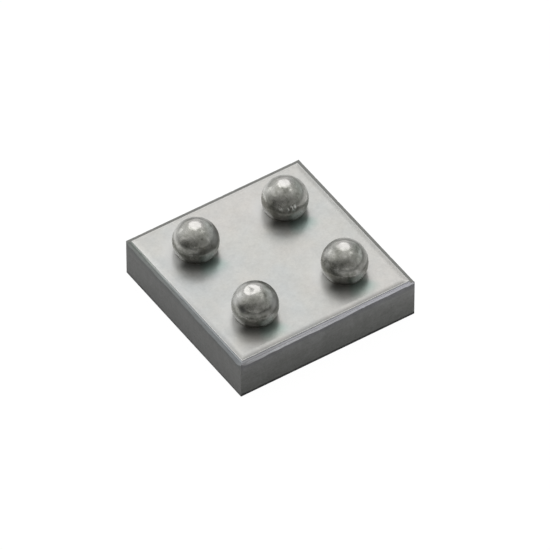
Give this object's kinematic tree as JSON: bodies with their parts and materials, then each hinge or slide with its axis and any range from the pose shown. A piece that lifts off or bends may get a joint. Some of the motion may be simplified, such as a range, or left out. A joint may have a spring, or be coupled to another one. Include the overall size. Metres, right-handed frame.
{
  "type": "chip-scale power mosfet",
  "caption": "Bare square silicon power transistor die with solder balls on its face, for flipping onto a circuit board.",
  "frame": {"origin": "centre of the die's back, on which it rests with the balls up", "axes": "+Z out of the ball side; X and Y along the die's edges, with the gate ball at -X +Y and the drain ball at +X +Y"},
  "size_m": [0.0016, 0.0016, 0.0006],
  "materials": {
    "silicon": "dark grey silicon, finely sawn sides with chipped edges",
    "back_coat": "thin satin silver coat over a ground back",
    "oxide": "thin clear oxide, lavender-grey where it lies bare on the silicon",
    "front_metal": "sputtered aluminium",
    "film": "smooth pale grey film with a soft gloss",
    "pad_metal": "plated nickel pad",
    "solder": "reflowed solder, mottled grey with a soft metallic shine"
  },
  "bodies": {
    "root": {"silicon_die": "silicon", "back_metal": "back_coat", "field_oxide": "oxide", "source_metal": "front_metal", "gate_metal": "front_metal", "drain_metal": "front_metal", "passivation": "film", "ball_pad_gate": "pad_metal", "ball_pad_drain": "pad_metal", "ball_pad_source_1": "pad_metal", "ball_pad_source_2": "pad_metal", "solder_ball_gate": "solder", "solder_ball_drain": "solder", "solder_ball_source_1": "solder", "solder_ball_source_2": "solder"}
  },
  "joints": []
}
